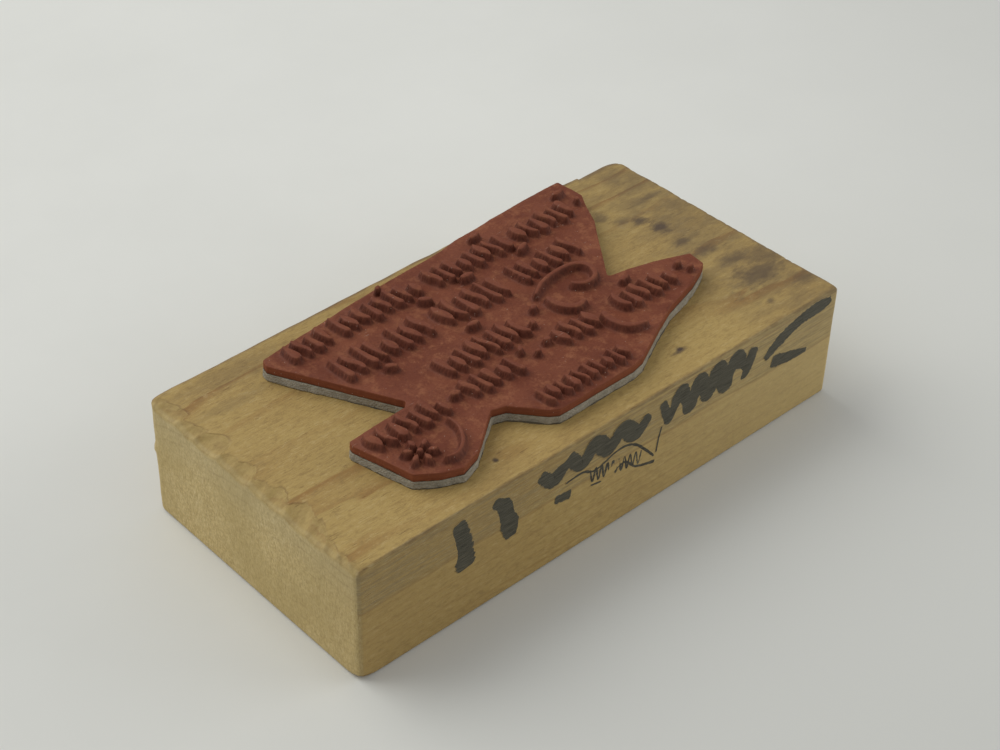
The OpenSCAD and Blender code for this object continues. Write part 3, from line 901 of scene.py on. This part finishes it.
def die_surface():
    """The closed skin of the die: the trimmed side as rings from the bottom to the rim, each mark's wall as
    rings from its foot to its flat top, and the ground between them."""
    draw = np.random.default_rng(11)
    normal = loop_normals(trim)
    snips = 0.05 * soft_noise(trim, 7, 33) + 0.015 * soft_noise(trim, 1.2, 34)
    points = [
        np.column_stack([trim + normal * (out + snips)[:, None], np.full(trim_count, height)])
        for height, out, _ in side_rows
    ]
    rim = points[-1][:, :2]
    points[-1][:, 2] = ground_height(rim)
    rim_first, wall_first = (len(side_rows) - 1) * trim_count, len(side_rows) * trim_count
    faces = ring_faces(len(side_rows), trim_count).tolist() + fill_triangles(trim)[:, ::-1].tolist()
    tops = []
    for loop in outlines_at("rubber_die", die_high):
        loop = even_loop(loop, mark_points)
        for _ in range(2):
            loop = 0.5 * loop + 0.25 * (np.roll(loop, 1, axis=0) + np.roll(loop, -1, axis=0))
        tops.append(loop)
    everything = np.concatenate([*tops, rim])
    owner = np.repeat(np.arange(len(tops) + 1), [mark_points] * len(tops) + [trim_count])
    wall_points = mark_points * len(wall_rows)
    feet = []
    for number, loop in enumerate(tops):
        out = loop_normals(loop)
        near = from_nearest(loop, everything[owner != number])
        spread = np.minimum(np.minimum(foot_spread, 0.44 * near), room_outside(loop, 2))
        x, y = loop.T
        area = (x * np.roll(y, -1) - y * np.roll(x, -1)).sum() / 2
        thickness = 2 * area / np.linalg.norm(np.roll(loop, -1, axis=0) - loop, axis=1).sum()
        rib_phase = np.arange(mark_points) * np.pi * 0.62 + draw.uniform(0, 6)
        ribs = 0.022 * np.cos(rib_phase) + 0.040 * soft_noise(loop, 0.7, 35)
        ground = ground_height(loop + out * spread[:, None])
        low_mark = draw.uniform(0, 0.04)
        for up, widen, rib, draft in wall_rows[:, :4]:
            offset = widen * spread + rib * ribs - draft * min(0.2, 0.34 * thickness)
            height = ground + up * (die_high - low_mark - ground)
            points.append(np.column_stack([loop + out * offset[:, None], height]))
        feet.append(points[-len(wall_rows)][:, :2])
        first = wall_first + number * wall_points
        faces += ring_faces(len(wall_rows), mark_points, first).tolist()
        faces += (fill_triangles(loop) + first + wall_points - mark_points).tolist()

    net, triangles = ground_net(rim, feet, draw)
    loose = net[trim_count + len(feet) * mark_points:]
    points.append(np.column_stack([loose, ground_height(loose)]))
    corner_of = np.concatenate([
        rim_first + np.arange(trim_count),
        *(wall_first + number * wall_points + np.arange(mark_points) for number in range(len(feet))),
        wall_first + len(feet) * wall_points + np.arange(len(loose)),
    ])
    faces += corner_of[triangles].tolist()
    on_side, on_ground = np.zeros(wall_first), np.zeros(len(loose))
    cut = np.repeat([row[2] for row in side_rows], trim_count)
    wall, crown = (np.tile(np.repeat(wall_rows[:, column], mark_points), len(feet)) for column in (4, 5))
    kinds = {
        "wall": np.concatenate([on_side, wall, on_ground]),
        "cut": np.concatenate([cut, np.zeros(len(wall)), on_ground]),
        "crown": np.concatenate([on_side, crown, on_ground]),
    }
    return np.concatenate(points), faces, kinds


rubber, tree, shader, place = new_material("rubber", 0.70, 0.22)
wall, cut, crown = (read_mark(tree, key) for key in ("wall", "cut", "crown"))
clouds = grain(tree, place, (0.13, 0.13, 0.13), 4.0, 0.6)
bloom = grain(tree, place, (0.55, 0.55, 0.55), 5.0, 0.7, (4, 1, 6))
specks = grain(tree, place, (2.4, 2.4, 2.4), 4.0, 0.7, (9, 3, 2))
colour = tint(tree, window(tree, clouds, 0.3, 0.7), (0.158, 0.040, 0.019, 1), (0.212, 0.062, 0.030, 1))
colour = coat(tree, colour, [
    (bloom, 0.46, 0.70, 0.72, (0.310, 0.116, 0.056)),
    (specks, 0.52, 0.72, 0.45, (0.085, 0.022, 0.013)),
    (specks, 0.42, 0.28, 0.40, (0.330, 0.132, 0.066)),
])
# The walls of the marks and the ground at their feet are painted darker: painted shade, with some ink stain.
ribs = grain(tree, place, (2.6, 2.6, 0.5), 4.0, 0.65, (2, 8, 5))
shaded_wall_colour = tint(tree, window(tree, ribs, 0.35, 0.65), (0.062, 0.016, 0.010, 1), (0.140, 0.038, 0.021, 1))
colour = tint(tree, times(tree, wall, 0.75), colour, shaded_wall_colour)
cut_lines = grain(tree, place, (0.3, 0.3, 5.0), 3.0, 0.6, (6, 2, 8))
cut_colour = tint(tree, window(tree, cut_lines, 0.3, 0.7), (0.245, 0.070, 0.028, 1), (0.180, 0.047, 0.021, 1))
colour = tint(tree, times(tree, cut, 0.8), colour, cut_colour)
colour = tint(tree, times(tree, crown, 0.4), colour, (0.190, 0.055, 0.029, 1))
lint = window(tree, from_spot(tree, place, 0.85), 0.085, 0.03)
lint = times(tree, lint, window(tree, bloom, 0.40, 0.50))
scratches = grain(tree, place, (0.35, 5.0, 1.0), 2.0, 0.5, (1, 6, 7))
scratches = times(tree, window(tree, scratches, 0.70, 0.76), window(tree, clouds, 0.45, 0.6))
light_marks = combine(tree, "MAXIMUM", lint, times(tree, scratches, 0.7))
colour = tint(tree, times(tree, light_marks, 0.85), colour, (0.460, 0.330, 0.260, 1))
tree.links.new(colour, shader.inputs["Base Color"])
tree.links.new(window(tree, bloom, 0.3, 0.7, 0.56, 0.76), shader.inputs["Roughness"])
ribbed = times(tree, ribs, combine(tree, "MAXIMUM", wall, times(tree, cut, 0.5)))
height = combine(tree, "ADD", times(tree, specks, 0.6), ribbed)
roughen(tree, shader, combine(tree, "ADD", height, times(tree, bloom, 0.7)), 0.09)

points, faces, kinds = die_surface()
die = make_piece("rubber_sheet", points, faces, rubber, "die", kinds)
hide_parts("rubber_die")

# ----------------------------------------------------------
# The stage. A sheet of pale paper under a broad window light from behind on the left, with the rest
# of a bright room all round.
# ----------------------------------------------------------
paper, tree, shader, place = new_material("paper", 0.85, 0.15)
fibre = grain(tree, place, (0.02, 0.02, 0.02), 4.0, 0.6)
colour = tint(tree, window(tree, fibre, 0.3, 0.7), (0.800, 0.805, 0.765, 1), (0.775, 0.780, 0.740, 1))
parts = split(tree, place)
# Painted shade: the paper is darker towards the front, and darker still far off to the front and the right,
# as a painted falloff of the light.
colour = tint(tree, window(tree, parts[1], 90.0, -130.0, 0.0, 1.0), colour, (0.640, 0.645, 0.610, 1))
far = combine(tree, "MAXIMUM", window(tree, parts[1], -60.0, -230.0), window(tree, parts[0], 60.0, 230.0))
colour = tint(tree, times(tree, far, 0.5), colour, (0.520, 0.525, 0.500, 1))
tree.links.new(colour, shader.inputs["Base Color"])
floor_reach = 3.0
floor_mesh = bpy.data.meshes.new("floor")
floor_corners = [(floor_reach * x, floor_reach * y, 0) for x, y in ((-1, -1), (1, -1), (1, 1), (-1, 1))]
floor_mesh.from_pydata(floor_corners, [], [(0, 1, 2, 3)])
floor_mesh.materials.append(paper)
floor = bpy.data.objects.new("floor", floor_mesh)
bpy.context.scene.collection.objects.link(floor)


def add_lamp(name, place, size, power, colour):
    """A square soft light that faces the middle of the block."""
    lamp = bpy.data.objects.new(name, bpy.data.lights.new(name, "AREA"))
    lamp.data.size = size
    lamp.data.energy = power
    lamp.data.color = colour
    lamp.location = place
    lamp.rotation_euler = (Vector((0, 0, 0.01)) - Vector(place)).to_track_quat("-Z", "Y").to_euler()
    bpy.context.scene.collection.objects.link(lamp)


add_lamp("window", (-0.50, 1.06, 1.12), 1.5, 17.4, (1.0, 0.99, 0.95))
add_lamp("doorway", (0.60, -0.42, 0.22), 0.5, 1.6, (1.0, 0.98, 0.94))
room = bpy.data.worlds.new("room")
room.use_nodes = True
background = next(node for node in room.node_tree.nodes if node.type == "BACKGROUND")
background.inputs["Color"].default_value = (0.95, 0.97, 1.0, 1)
background.inputs["Strength"].default_value = 0.42
bpy.context.scene.world = room
bpy.context.scene.view_settings.view_transform = "Standard"
